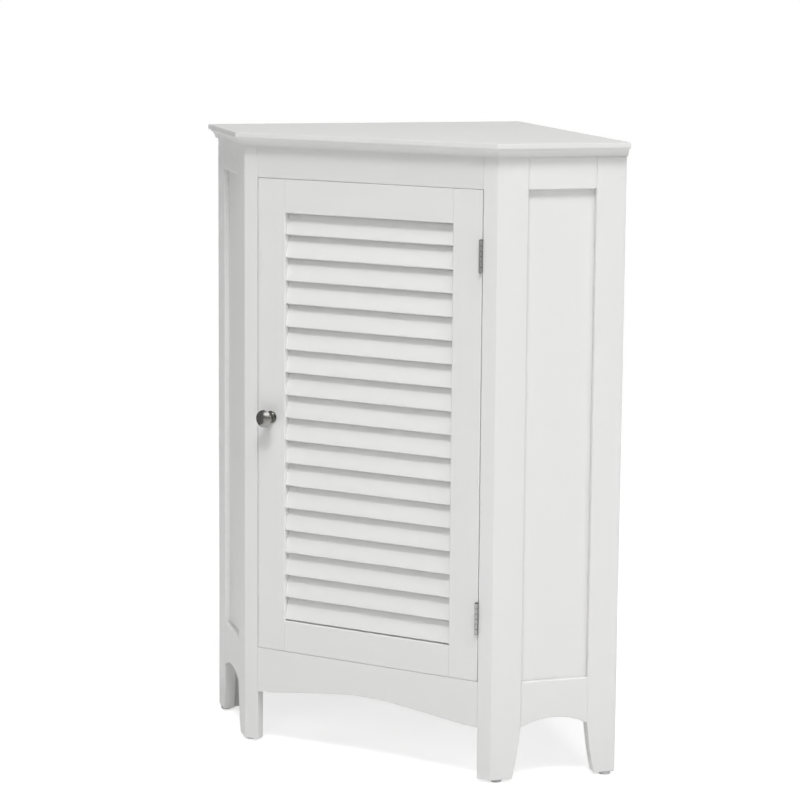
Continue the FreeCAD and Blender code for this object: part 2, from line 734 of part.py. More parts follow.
def leaf_flat(start, side):
    """Flat of a hinge leaf, on the frame side for side 1 and the door side for side -1."""
    near = HINGE_X + side * HINGE_LEAF_GAP / 2
    far = near + side * HINGE_LEAF_THICKNESS
    return block(min(near, far), max(near, far), -HINGE_AXIS_PROUD, HINGE_LEAF_WIDTH,
                 start, start + HINGE_HEIGHT)


def hinge_mortise(start):
    """Room for both leaves in the door's edge, so that the frame leaf lies flat on the post."""
    depth = HINGE_LEAF_THICKNESS + HINGE_LEAF_GAP / 2
    return block(HINGE_X - depth, OPENING_HALF, -HINGE_AXIS_PROUD, HINGE_LEAF_WIDTH + HINGE_MORTISE_PLAY,
                 start - HINGE_MORTISE_PLAY, start + HINGE_HEIGHT + HINGE_MORTISE_PLAY)


def leaf_screws(start, side, spare=0.0):
    """Two countersunk screws of a hinge leaf."""
    x = HINGE_X + side * HINGE_LEAF_GAP / 2
    middle = start + HINGE_HEIGHT / 2
    heights = (middle - HINGE_SCREW_SPREAD / 2, middle + HINGE_SCREW_SPREAD / 2)
    return [small_screw(V(x, HINGE_LEAF_WIDTH / 2, z), RIGHT * side, spare) for z in heights]


def hinge_leaf(start, side):
    """Leaf with its own knuckles, cut clear of the other leaf's."""
    own, other = (0, 1) if side > 0 else (1, 0)
    leaf = join(leaf_flat(start, side), *knuckles(start, own, HINGE_BARREL_RADIUS, 0))
    clear = knuckles(start, other, HINGE_BARREL_RADIUS + HINGE_RELIEF, HINGE_KNUCKLE_GAP)
    bore = rod(HINGE_PIN_RADIUS + BORE_CLEARANCE, hinge_axis(start), hinge_axis(start + HINGE_HEIGHT))
    return carve(leaf, clear + [bore] + leaf_screws(start, side, BORE_CLEARANCE))


def hinge_pin(start):
    """Hinge pin with a domed button at each end."""
    low, high = hinge_axis(start), hinge_axis(start + HINGE_HEIGHT)
    button = UP * HINGE_PIN_HEAD_HEIGHT
    cap_radius = HINGE_PIN_HEAD_RADIUS - HINGE_PIN_HEAD_HEIGHT / 2
    shaft = rod(HINGE_PIN_RADIUS, low, high)
    foot = Part.makeCone(HINGE_PIN_HEAD_RADIUS, cap_radius, HINGE_PIN_HEAD_HEIGHT, low, -button)
    head = Part.makeCone(HINGE_PIN_HEAD_RADIUS, cap_radius, HINGE_PIN_HEAD_HEIGHT, high, button)
    return join(shaft, foot, head)


def hinge_room(side):
    """Barrel relief and screw holes of both hinges in the post, or also their mortises in the door stile."""
    tools = []
    for start in HINGE_STARTS:
        low = hinge_axis(start - HINGE_PIN_HEAD_HEIGHT - HINGE_RELIEF)
        high = hinge_axis(start + HINGE_HEIGHT + HINGE_PIN_HEAD_HEIGHT + HINGE_RELIEF)
        tools.append(rod(HINGE_BARREL_RADIUS + HINGE_RELIEF, low, high))
        tools += leaf_screws(start, side, BORE_CLEARANCE)
        if side < 0:
            tools.append(hinge_mortise(start))
    return tools


# Magnetic catch

def catch_room():
    """Space of the magnet in its housing, open to the front."""
    half = CATCH_WIDTH / 2 - MAGNET_WALL
    return block(-CATCH_OFFSET - half, -CATCH_OFFSET + half, MAGNET_FACE, MAGNET_FACE + MAGNET_DEPTH,
                 OPENING_BOTTOM + MAGNET_WALL, OPENING_BOTTOM + CATCH_HEIGHT - MAGNET_WALL)


def catch_screws(spare=0.0):
    """Screws through the ears of the catch into the bottom board."""
    reach = CATCH_WIDTH / 2 + CATCH_EAR / 2
    y = CATCH_FACE + CATCH_DEPTH / 2
    z = OPENING_BOTTOM + CATCH_EAR_THICKNESS
    return [small_screw(V(-CATCH_OFFSET + side * reach, y, z), -UP, spare) for side in (-1, 1)]


def catch_housing():
    """Catch body between two screw ears."""
    half = CATCH_WIDTH / 2
    body = block(-CATCH_OFFSET - half, -CATCH_OFFSET + half, CATCH_FACE, CATCH_FACE + CATCH_DEPTH,
                 OPENING_BOTTOM, OPENING_BOTTOM + CATCH_HEIGHT)
    ears = block(-CATCH_OFFSET - half - CATCH_EAR, -CATCH_OFFSET + half + CATCH_EAR, CATCH_FACE,
                 CATCH_FACE + CATCH_DEPTH, OPENING_BOTTOM, OPENING_BOTTOM + CATCH_EAR_THICKNESS)
    return carve(join(body, ears), [catch_room()] + catch_screws(BORE_CLEARANCE))


def strike_screw(spare=0.0):
    """Screw of the strike plate, from the back of the door."""
    at = V(-CATCH_OFFSET, STRIKE_BACK, DOOR_LOW + STRIKE_MARGIN + STRIKE_HEIGHT / 2)
    return small_screw(at, -BACK, spare)


def strike_plate():
    """Steel plate on the back of the door that the magnet holds."""
    half = STRIKE_WIDTH / 2
    low = DOOR_LOW + STRIKE_MARGIN
    plate = block(-CATCH_OFFSET - half, -CATCH_OFFSET + half, DOOR_THICKNESS, STRIKE_BACK,
                  low, low + STRIKE_HEIGHT)
    return carve(plate, [strike_screw(BORE_CLEARANCE)])


# Assembly

def carcass_parts():
    """Every piece of the standing carcass, by name."""
    bores = frame_dowels(dowel_bore())
    pilots = bracket_holes()
    pins = at_pins(pin_holes())
    nails = at_feet(glide(BORE_CLEARANCE))
    back_holes = back_screws(BORE_CLEARANCE)

    post = carve(on_side(front_post()), bores + pins + nails)
    stile = carve(on_side(rear_stile()), bores + nails)
    batten = carve(on_side(rear_batten()), pins + back_holes)
    corner = carve(corner_post(), pins + nails + back_holes + pilots)
    top_rail = carve(on_side(side_top_rail()), bores + pilots)
    bottom_rail = carve(on_side(side_bottom_rail()), bores)
    panel = on_side(side_panel(GROOVE_DEPTH - GROOVE_END_PLAY, 0))
    back = carve(on_side(back_panel()), back_holes)
    uprights = with_mirror([on_side(front_post()), on_side(rear_batten())]) + [corner_post()]

    parts = {
        "top_board": top_board(),
        "front_right_post": carve(post, hinge_room(1)),
        "front_left_post": mirrored(post),
        "front_top_rail": carve(front_top_rail(), bores + pilots),
        "front_apron": carve(front_apron(), bores),
        "back_corner_post": corner,
        "bottom_board": carve(bottom_board(uprights), bores + catch_screws(BORE_CLEARANCE)),
    }
    pairs = {"rear_{}_stile": stile, "rear_{}_batten": batten, "{}_top_rail": top_rail,
             "{}_bottom_rail": bottom_rail, "{}_side_panel": panel, "{}_back_panel": back}
    for name, shape in pairs.items():
        parts[name.format("right")] = shape
        parts[name.format("left")] = mirrored(shape)
    return parts


def carcass_hardware():
    """Fasteners and fittings on the carcass, by name; alike ones share a name."""
    frame_screws = [screw for start in HINGE_STARTS for screw in leaf_screws(start, 1)] + catch_screws()
    return {
        "frame_dowels": Part.makeCompound(frame_dowels(dowel())),
        "back_panel_screws": Part.makeCompound(back_screws()),
        "top_brackets": Part.makeCompound(at_brackets(bracket())),
        "bracket_screws": Part.makeCompound(at_brackets(Part.makeCompound(bracket_screws()))),
        "foot_glides": Part.makeCompound(at_feet(glide())),
        "shelf_pins": Part.makeCompound(at_pins(shelf_pin())),
        "hinge_frame_leaves": Part.makeCompound([hinge_leaf(start, 1) for start in HINGE_STARTS]),
        "hinge_pins": Part.makeCompound([hinge_pin(start) for start in HINGE_STARTS]),
        "frame_screws": Part.makeCompound(frame_screws),
        "catch_housing": catch_housing(),
        "catch_magnet": catch_room(),
    }


def door_parts():
    """Every piece that swings with the door, by name."""
    stile = door_stile()
    screws = [screw for start in HINGE_STARTS for screw in leaf_screws(start, -1)] + [strike_screw()]
    parts = {
        "door_right_stile": carve(stile, hinge_room(-1)),
        "door_left_stile": carve(mirrored(stile), [knob_screw_shank(KNOB_HOLE_CLEARANCE)]),
        "door_top_rail": door_top_rail(),
        "door_bottom_rail": carve(door_rail(DOOR_LOW, LOUVRE_LOW), [strike_screw(BORE_CLEARANCE)]),
        "door_dowels": Part.makeCompound(door_dowels(dowel())),
        "hinge_door_leaves": Part.makeCompound([hinge_leaf(start, -1) for start in HINGE_STARTS]),
        "door_screws": Part.makeCompound(screws),
        "strike_plate": strike_plate(),
        "knob": knob(),
        "knob_screw": knob_screw(),
    }
    for number, low in enumerate(slat_lows(), start=1):
        parts["louvre_slat_{:02d}".format(number)] = slat(low, LOUVRE_HALF + SLAT_SEAT, 0)
    return parts


def main():
    """Write every piece, moved so that the origin is under the middle of the cabinet."""
    os.makedirs("parts", exist_ok=True)
    parts = {**carcass_parts(), **carcass_hardware(), **door_parts(), "shelf_board": shelf_board()}
    for name, shape in parts.items():
        placed(shape, 0, -BACK * ORIGIN_Y).exportStep(os.path.join("parts", name + ".step"))


main()
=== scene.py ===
# Looks of a white corner cabinet with a louvred door, in metres, in the frame of its solids.
import json
import math

import bmesh
import bpy
import numpy as np
from mathutils import Matrix, Vector


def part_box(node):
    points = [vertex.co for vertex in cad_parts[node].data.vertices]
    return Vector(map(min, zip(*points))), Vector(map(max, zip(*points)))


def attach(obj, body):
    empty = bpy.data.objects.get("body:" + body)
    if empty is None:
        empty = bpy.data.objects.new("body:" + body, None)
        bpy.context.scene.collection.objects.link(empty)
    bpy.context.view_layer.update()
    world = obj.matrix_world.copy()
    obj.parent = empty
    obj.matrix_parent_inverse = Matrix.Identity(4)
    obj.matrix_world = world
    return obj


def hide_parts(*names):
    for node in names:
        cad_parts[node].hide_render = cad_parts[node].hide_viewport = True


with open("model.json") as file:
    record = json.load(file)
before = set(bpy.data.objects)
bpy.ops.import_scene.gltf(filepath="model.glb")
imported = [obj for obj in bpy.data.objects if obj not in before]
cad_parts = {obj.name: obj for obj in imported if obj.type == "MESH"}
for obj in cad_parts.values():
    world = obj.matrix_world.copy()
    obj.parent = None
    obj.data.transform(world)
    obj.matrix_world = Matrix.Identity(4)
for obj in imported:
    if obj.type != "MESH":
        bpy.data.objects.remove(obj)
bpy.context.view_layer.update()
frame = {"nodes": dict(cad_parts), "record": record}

MM = 0.001

# Camera at the photograph's place; its focus and centre row count pixels of a square picture
PICTURE = 800
CAMERA_AT = (1.650134, -3.049540, 1.029479)
CAMERA_YAW = math.radians(29.339)
CAMERA_PITCH = math.radians(-8.396)
CAMERA_ROLL = math.radians(0.452)
CAMERA_FOCUS = 2610.9
CAMERA_CENTRE_ROW = 350
SENSOR_MM = 36.0

# Floor, which fades to white from FLOOR_NEAR to FLOOR_FAR and sends up light from beyond FLOOR_SHADE
FLOOR_RADIUS = 9.0
FLOOR_SIDES = 96
FLOOR_TONE = 0.80
FLOOR_LIFT = 0.62
FLOOR_SHADE = 0.4
FLOOR_NEAR = 0.7
FLOOR_FAR = 2.2
FLOOR_BOUNCE = 0.35

# Lamps: degrees to the right of the door's front, degrees up, metres across and watts
LAMPS = {
    "key_light": (26, 56, 1.4, 137.0),
    "side_light": (55, 60, 2.0, 66.0),
    "top_light": (30, 75, 3.0, 32.0),
    "front_fill": (8, 24, 3.0, 35.0),
    "left_fill": (-60, 10, 4.5, 42.0),
    "right_fill": (80, 15, 3.0, 42.0),
    "back_fill": (180, 8, 4.5, 100.0),
}
LAMP_DISTANCE = 5.5
AIM_HEIGHT = 0.45
AMBIENT = 0.02
WHITE_LIGHT = (1, 1, 1, 1)

# Lamps that show in reflections
SHINING_LAMPS = ("key_light", "side_light")

# Cards that only reflections show: their line on the floor, their low and high edges and their tone
CARDS = {
    "grey_card": (((-0.63, -0.09), (-0.39, -0.78)), 0.12, 2.0, 0.28),
    "far_band": (((-2.2, -0.3), (-1.5, -1.8), (0.2, -2.4), (1.9, -1.7), (2.4, 0.2)), 0.30, 0.72, 0.26),
    "bright_card": (((-1.36, -2.78), (-0.39, -3.04), (0.5, -3.04)), 1.2, 1.85, 4.0),
}

# Edges and the merging of solids' faces
MERGE = 2e-6
FLAT = math.radians(0.3)
SHARP = math.radians(30)
SMOOTH = math.radians(38)
FLUSH = 0.02 * MM
UNDERSIDE = -0.5
EASE_STEPS = 3
EASE_PROFILE = 0.5
EASE_ROOM = 2.0
FRAME_EASE = 0.6 * MM
POST_EASE = 1.0 * MM
SIDE_EASE = 1.4 * MM
DOOR_EASE = 0.8 * MM
TOP_EASE = 0.8 * MM
BOARD_EASE = 0.5 * MM
PANEL_EASE = 0.3 * MM
HARDWARE_EASE = 0.15 * MM
EDGE_NAME = "eased_edge"
LEVEL_DIGITS = 5

# Louvres
SLAT_COUNT = 18
SLAT_EDGE = 1.0 * MM
SLAT_ROUNDS = 4
SLAT_SWAY = math.radians(0.12)
SLAT_SEED = 5
SLAT_TONE_SPREAD = 0.10
SLAT_TONE_NAME = "slat_tone"

# Screws and dowels, with the recess in shares of the head's radius, each way from its middle
SCREW_SIDES = 28
RECESS_LENGTH_SHARE = 0.62
RECESS_WIDTH_SHARE = 0.24
RECESS_DEPTH_SHARE = 0.45
PAN_TOP_SHARE = 0.8
DOWEL_FLUTES = 14
FLUTE_DEPTH = 0.25 * MM

# Knob profile, as radius and distance out from the door
KNOB_SPIN = 72
KNOB_BASE = 8.0 * MM
KNOB_NECK = 5.0 * MM
KNOB_BASE_OUT = 2.0 * MM
KNOB_NECK_OUT = 8.0 * MM
KNOB_HEAD_OUT = 17.0 * MM
KNOB_LIP = KNOB_BASE_OUT / 3
KNOB_BEAD = 1.3 * MM
KNOB_ARC = 10

# Paint
WHITE = (0.815, 0.815, 0.808)
WARM_WHITE = (0.80, 0.795, 0.780)
COOL_WHITE = (0.785, 0.79, 0.795)
WHITE_SHARE = 0.75
# Painted shade: the top board's paint is made darker for how light falls on it
TOP_BOARD_SHADE = 0.98
# Painted shade: the front top rail's paint is made darker, as the shade under the moulding
RAIL_SHADE = 0.96
# Painted shade: the top face is made darker still, over a ramp this deep below it, for how light falls on it
TOP_FACE_SHADE = 0.92
TOP_FACE_SHADE_RAMP = 0.4 * MM
SATIN = 0.44
DOOR_SATIN = 0.42
SHELF_SATIN = 0.46
TOP_SATIN = 0.55
PAINT_GLOSS = 0.3
TOP_GLOSS = 0.1
COAT = 0.03
EDGE_COAT = 0.12
COAT_ROUGHNESS = 0.25
CLOUD_ROUGHNESS = 0.08
GRAIN_ROUGHNESS = 0.04
MEAN_ROUGHNESS = 0.05
EDGE_POLISH = 0.06
PEEL_SHARE = 0.6

# Painted back boards and bare beech
BACK_WHITE = (0.74, 0.74, 0.73)
BACK_FIBRE = (0.68, 0.675, 0.66)
BACK_STOPS = [(0.30, (0, 0, 0)), (0.62, (1, 1, 1))]
BACK_GLOSS = 0.35
BACK_ROUGHNESS = 0.48
BACK_CLOUDING = 0.14
BEECH_DARK = (0.46, 0.30, 0.17)
BEECH_LIGHT = (0.66, 0.48, 0.31)
BEECH_GLOSS = 0.3
BEECH_ROUGHNESS = 0.55
BEECH_FLECKING = 0.2

# Plated metals: a dark and a light tone, and the roughness
PLATES = {
    "hinge_plate": ((0.31, 0.31, 0.31), (0.45, 0.445, 0.44), 0.22),
    # Painted shade: the hinge pins are near black so that the seams between the knuckles read as shade
    "hinge_pin_plate": ((0.05, 0.05, 0.05), (0.09, 0.09, 0.088), 0.34),
    "zinc_plate": ((0.42, 0.43, 0.45), (0.66, 0.66, 0.67), 0.34),
    "pin_plate": ((0.45, 0.45, 0.45), (0.62, 0.62, 0.61), 0.26),
}
HAZE_SHARE = 0.6
PLATE_MARKING = 0.16
PLATE_POLISH = 0.08

# Turned nickel
NICKEL = (0.30, 0.295, 0.28)
NICKEL_DARK = (0.24, 0.235, 0.225)
# Painted shade and dark reflection for the knob's neck and base
NICKEL_NECK_SHADE = (0.11, 0.108, 0.10)
NICKEL_ROUGHNESS = 0.14
NICKEL_MARKING = 0.10
NICKEL_RINGING = 0.06
RING_SCALE = 2600.0
RING_DETAIL = 2.0

# Moulded plastics, as the plated metals are given, and ferrite
PLASTICS = {
    "glide_plastic_grey": ((0.52, 0.52, 0.525), (0.60, 0.60, 0.605), 0.5),
    "catch_plastic_white": ((0.70, 0.70, 0.68), (0.80, 0.80, 0.78), 0.42),
}
PLASTIC_GLOSS = 0.4
PLASTIC_GRAINING = 0.12
FERRITE_DARK = (0.035, 0.035, 0.038)
FERRITE_LIGHT = (0.12, 0.12, 0.125)
FERRITE_GLOSS = 0.5
FERRITE_ROUGHNESS = 0.45
FERRITE_GRAINING = 0.25

# Noises: scale, detail and roughness
GRAIN_NOISE = (1.0, 3.0, 0.6)
PEEL_NOISE = (620.0, 1.0, 0.5)
CLOUD_NOISE = (7.0, 3.0, 0.5)
FIBRE_NOISE = (340.0, 4.0, 0.7)
FLECK_NOISE = (1.0, 4.0, 0.65)
HAZE_NOISE = (1.0, 3.0, 0.6)
PLATE_MARK_NOISE = (130.0, 3.0, 0.5)
KNOB_MARK_NOISE = (160.0, 3.0, 0.5)
PLASTIC_NOISE = (1500.0, 2.0, 0.5)
TINT_NOISE = (60.0, 2.0, 0.5)
FERRITE_NOISE = (2200.0, 3.0, 0.7)

# Grain lengths in metres, and which way the grain runs: upright, or along an axis turned about Z
GRAIN_ALONG = 0.11
GRAIN_ACROSS = 0.0017
FLECK_LENGTHS = (0.006, 0.0012, 0.0012)
HAZE_LENGTHS = (0.0004, 0.0004, 0.006)
UPRIGHT = "upright"
ALONG_FRONT = 0.0
ALONG_SIDE = math.radians(45)

# Reliefs: depth and strength
PEEL_RELIEF = (0.05 * MM, 0.5)
FIBRE_RELIEF = (0.10 * MM, 0.6)
FLECK_RELIEF = (0.08 * MM, 0.6)
HAZE_RELIEF = (0.012 * MM, 0.5)
RING_RELIEF = (0.01 * MM, 0.6)
PLASTIC_RELIEF = (0.03 * MM, 0.6)
FERRITE_RELIEF = (0.04 * MM, 0.6)


# Node trees

class Value:
    """A socket in a node tree. Arithmetic on it adds Math nodes."""

    def __init__(self, tree, socket):
        self.tree = tree
        self.socket = socket

    def math(self, operation, first, second):
        """The result of one Math node."""
        return self.tree.node("ShaderNodeMath", {"operation": operation}, {0: first, 1: second})

    def __add__(self, other):
        return self.math("ADD", self, other)

    def __radd__(self, other):
        return self.math("ADD", other, self)

    def __sub__(self, other):
        return self.math("SUBTRACT", self, other)

    def __rsub__(self, other):
        return self.math("SUBTRACT", other, self)

    def __mul__(self, other):
        return self.math("MULTIPLY", self, other)

    def __rmul__(self, other):
        return self.math("MULTIPLY", other, self)

    def __truediv__(self, other):
        return self.math("DIVIDE", self, other)


def set_stops(ramp, stops):
    """Give a colour ramp its positions and colours."""
    while len(ramp.elements) < len(stops):
        ramp.elements.new(1.0)
    for element, (position, colour) in zip(ramp.elements, stops):
        element.position = position
        element.color = (*colour, 1.0)


class Tree:
    """A shader or geometry node tree that is being built."""

    def __init__(self, tree):
        self.tree = tree

    def node(self, kind, settings=None, inputs=None, output=0):
        """Any node, from its settings and the values or links of its sockets; gives one of its outputs."""
        made = self.tree.nodes.new(kind)
        for name, value in (settings or {}).items():
            if name == "stops":
                set_stops(made.color_ramp, value)
            else:
                setattr(made, name, value)
        for key, value in (inputs or {}).items():
            for item in value if isinstance(value, list) else [value]:
                if isinstance(item, Value):
                    self.tree.links.new(item.socket, made.inputs[key])
                else:
                    made.inputs[key].default_value = item
        return Value(self, made.outputs[output]) if made.outputs else None

    def place(self):
        """Object coordinates, which are metres in the cabinet's frame."""
        return self.node("ShaderNodeTexCoord", output="Object")

    def part(self, vector, axis):
        """One coordinate of a vector."""
        return self.node("ShaderNodeSeparateXYZ", {}, {0: vector}, output=axis)

    def length(self, vector):
        """Length of a vector."""
        return self.node("ShaderNodeVectorMath", {"operation": "LENGTH"}, {0: vector}, output="Value")

    def ramp(self, value, start, end, low=0.0, high=1.0):
        """A value taken from one range to another and held at the ends."""
        return self.node("ShaderNodeMapRange", {}, {"Value": value, 1: start, 2: end, 3: low, 4: high})

    def mixed(self, share, first, second):
        """A shader between two others."""
        return self.node("ShaderNodeMixShader", {}, {0: share, 1: first, 2: second})

    def glow(self, strength):
        """White light from a surface."""
        return self.node("ShaderNodeEmission", {}, {"Color": WHITE_LIGHT, "Strength": strength})


def as_colour(value):
    """A colour with its alpha, or a link left as it is."""
    return value if isinstance(value, Value) else (*value, 1.0)


def toned(colour, tone):
    """A colour made lighter or darker."""
    return tuple(part * tone for part in colour)


class Finish(Tree):
    """A material under construction, with one Principled surface."""

    def __init__(self, name, **uniform):
        self.material = bpy.data.materials.new(name)
        self.material.use_nodes = True
        super().__init__(self.material.node_tree)
        self.surface = self.tree.nodes["Principled BSDF"]
        for socket, value in uniform.items():
            self.surface.inputs[socket.replace("_", " ")].default_value = value

    def noise(self, vector, scale, detail, roughness):
        """Cloudy noise from 0 to 1."""
        return self.node("ShaderNodeTexNoise", {},
                         {"Vector": vector, "Scale": scale, "Detail": detail, "Roughness": roughness})

    def stretched(self, vector, lengths, turn=0.0):
        """Coordinates counted in grain lengths along turned axes."""
        return self.node("ShaderNodeMapping", {"vector_type": "TEXTURE"},
                         {"Vector": vector, "Rotation": (0, 0, turn), "Scale": lengths})

    def attribute(self, name):
        """The piece's own attribute."""
        return self.node("ShaderNodeAttribute", {"attribute_name": name}, output="Fac")

    def blend(self, share, first, second):
        """A colour between two others."""
        return self.node("ShaderNodeMix", {"data_type": "RGBA"},
                         {0: share, 6: as_colour(first), 7: as_colour(second)}, output=2)

    def feed(self, socket, value):
        """Link what varies over the surface to one of the shader's sockets."""
        self.tree.links.new(value.socket, self.surface.inputs[socket])

    def bump(self, height, depth, strength):
        """Relief of a depth in metres."""
        relief = self.node("ShaderNodeBump", {}, {"Height": height, "Distance": depth, "Strength": strength})
        self.feed("Normal", relief)


# Finishes

def paint(name, grain, roughness=SATIN, gloss=PAINT_GLOSS, tone=1.0, tone_name=None, shaded_height=None):
    """Satin paint on wood, whose grain shows faintly through the film.

    The tone darkens the whole piece as painted shade, the attribute called tone_name shifts its share of
    plain white, and the face that lies at the height given for the top is darkened further as painted shade.
    """
    finish = Finish(name, Coat_Roughness=COAT_ROUGHNESS, Specular_IOR_Level=gloss)
    place = finish.place()
    if grain == UPRIGHT:
        lengths, turn = (GRAIN_ACROSS, GRAIN_ACROSS, GRAIN_ALONG), 0.0
    else:
        lengths, turn = (GRAIN_ALONG, GRAIN_ACROSS, GRAIN_ACROSS), grain
    wood = finish.noise(finish.stretched(place, lengths, turn), *GRAIN_NOISE)
    peel = finish.noise(place, *PEEL_NOISE)
    cloud = finish.noise(place, *CLOUD_NOISE)
    edge = finish.attribute(EDGE_NAME)
    film = finish.blend(cloud, toned(COOL_WHITE, tone), toned(WARM_WHITE, tone))
    share = WHITE_SHARE + (1 - WHITE_SHARE) * wood
    if tone_name:
        share = share + finish.attribute(tone_name)
    colour = finish.blend(share, film, toned(WHITE, tone))
    # Painted shade: the face at the given height, the top, is darkened for how light falls on it
    if shaded_height:
        shaded_face = finish.ramp(finish.part(place, "Z"), shaded_height - TOP_FACE_SHADE_RAMP, shaded_height)
        shaded_colour = finish.blend(share, toned(WARM_WHITE, tone * TOP_FACE_SHADE), toned(WHITE, tone * TOP_FACE_SHADE))
        colour = finish.blend(shaded_face, colour, shaded_colour)
    finish.feed("Base Color", colour)
    varied = CLOUD_ROUGHNESS * cloud + GRAIN_ROUGHNESS * wood
    finish.feed("Roughness", roughness - MEAN_ROUGHNESS + varied - EDGE_POLISH * edge)
    finish.feed("Coat Weight", COAT + EDGE_COAT * edge)
    finish.bump(peel * PEEL_SHARE + wood * (1 - PEEL_SHARE), *PEEL_RELIEF)
    return finish.material


def painted_back():
    """Thin pressed board under one coat of paint, with its fibres showing."""
    finish = Finish("painted_back_board", Specular_IOR_Level=BACK_GLOSS)
    place = finish.place()
    fibre = finish.noise(place, *FIBRE_NOISE)
    cloud = finish.noise(place, *CLOUD_NOISE)
    flecks = finish.node("ShaderNodeValToRGB", {"stops": BACK_STOPS}, {"Fac": fibre})
    finish.feed("Base Color", finish.blend(flecks, BACK_FIBRE, BACK_WHITE))
    finish.feed("Roughness", BACK_ROUGHNESS + BACK_CLOUDING * cloud)
    finish.bump(fibre, *FIBRE_RELIEF)
    return finish.material


def beech():
    """Bare beech with fine flecks."""
    finish = Finish("bare_beech", Specular_IOR_Level=BEECH_GLOSS)
    fleck = finish.noise(finish.stretched(finish.place(), FLECK_LENGTHS), *FLECK_NOISE)
    finish.feed("Base Color", finish.blend(fleck, BEECH_DARK, BEECH_LIGHT))
    finish.feed("Roughness", BEECH_ROUGHNESS + BEECH_FLECKING * fleck)
    finish.bump(fleck, *FLECK_RELIEF)
    return finish.material


def plated(name, dark, light, roughness):
    """Plated steel with a fine brushed haze and a few finger marks."""
    finish = Finish(name, Metallic=1.0)
    place = finish.place()
    haze = finish.noise(finish.stretched(place, HAZE_LENGTHS), *HAZE_NOISE)
    marks = finish.noise(place, *PLATE_MARK_NOISE)
    edge = finish.attribute(EDGE_NAME)
    finish.feed("Base Color", finish.blend(haze * HAZE_SHARE + marks * (1 - HAZE_SHARE), dark, light))
    finish.feed("Roughness", roughness + PLATE_MARKING * marks - PLATE_POLISH * edge)
    finish.bump(haze, *HAZE_RELIEF)
    return finish.material


def turned_nickel(centre):
    """Satin nickel with turning rings round the knob's own axis, darkened towards its neck and base as
    painted shade and dark reflection.
    """
    finish = Finish("turned_satin_nickel", Metallic=1.0)
    place = finish.place()
    apart = finish.node("ShaderNodeVectorMath", {"operation": "SUBTRACT"}, {0: place, 1: centre})
    across = finish.node("ShaderNodeVectorMath", {"operation": "MULTIPLY"}, {0: apart, 1: (1, 0, 1)})
    rings = finish.node("ShaderNodeTexNoise", {"noise_dimensions": "1D"},
                        {"W": finish.length(across), "Scale": RING_SCALE, "Detail": RING_DETAIL})
    marks = finish.noise(place, *KNOB_MARK_NOISE)
    # Painted shade and dark reflection: darker from the head towards the neck and base
    neck_shade = finish.ramp(finish.part(apart, "Y"), -KNOB_HEAD_OUT, -KNOB_NECK_OUT)
    bright = finish.blend(rings, NICKEL_DARK, NICKEL)
    finish.feed("Base Color", finish.blend(neck_shade, bright, NICKEL_NECK_SHADE))
    finish.feed("Roughness", NICKEL_ROUGHNESS + NICKEL_MARKING * marks + NICKEL_RINGING * rings)
    finish.bump(rings, *RING_RELIEF)
    return finish.material


def moulded(name, dark, light, roughness):
    """Moulded plastic with a fine spark-eroded grain."""
    finish = Finish(name, Specular_IOR_Level=PLASTIC_GLOSS)
    place = finish.place()
    grain = finish.noise(place, *PLASTIC_NOISE)
    tint = finish.noise(place, *TINT_NOISE)
    finish.feed("Base Color", finish.blend(tint, dark, light))
    finish.feed("Roughness", roughness + PLASTIC_GRAINING * grain)
    finish.bump(grain, *PLASTIC_RELIEF)
    return finish.material


def ferrite():
    """Ground black ferrite with bright grains."""
    finish = Finish("ground_ferrite", Specular_IOR_Level=FERRITE_GLOSS)
    grain = finish.noise(finish.place(), *FERRITE_NOISE)
    finish.feed("Base Color", finish.blend(grain, FERRITE_DARK, FERRITE_LIGHT))
    finish.feed("Roughness", FERRITE_ROUGHNESS + FERRITE_GRAINING * grain)
    finish.bump(grain, *FERRITE_RELIEF)
    return finish.material


# Pieces

BODY_OF = {node: body for body, nodes in frame["record"]["behaviour"]["bodies"].items() for node in nodes}


def finish_piece(piece, material, nodes):
    """Shade a piece, give it its material and let it stand for its nodes on their body."""
    piece.data.materials.clear()
    piece.data.materials.append(material)
    piece.data.shade_smooth()
    piece.data.set_sharp_from_angle(angle=SMOOTH)
    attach(piece, BODY_OF[nodes[0]])
    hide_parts(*nodes)
    return piece


def new_piece(name, data):
    """An object at the origin with its mesh, which is in the cabinet's frame, or its lamp or lens."""
    piece = bpy.data.objects.new(name, data)
    bpy.context.scene.collection.objects.link(piece)
    return piece


def as_mesh(name, shape):
    """The mesh of an editable shape, which is freed."""
    mesh = bpy.data.meshes.new(name)
    shape.to_mesh(mesh)
    shape.free()
    return mesh


def welded(node):
    """Editable copy of a node with its loose triangles joined at their corners."""
    shape = bmesh.new()
    shape.from_mesh(frame["nodes"][node].data)
    bmesh.ops.remove_doubles(shape, verts=shape.verts[:], dist=MERGE)
    return shape


def outer_faces(shape):
    """Faces with nothing of the piece in front of them, and those of curved lower edges."""
    points = np.array([vertex.co for vertex in shape.verts])
    faces = set()
    for face in shape.faces:
        ahead = (points - np.array(face.verts[0].co)) @ np.array(face.normal)
        if ahead.max() < FLUSH or face.normal.z < UNDERSIDE:
            faces.add(face)
    return faces


def has_room(edge, width):
    """Whether the faces beside an edge have no other corner near it."""
    start, end = (vertex.co for vertex in edge.verts)
    along = end - start
    for face in edge.link_faces:
        for vertex in face.verts:
            offset = vertex.co - start
            share = offset.dot(along) / along.length_squared
            apart = (offset - along * share).length
            if vertex not in edge.verts and 0.0 < share < 1.0 and apart < EASE_ROOM * width:
                return False
    return True


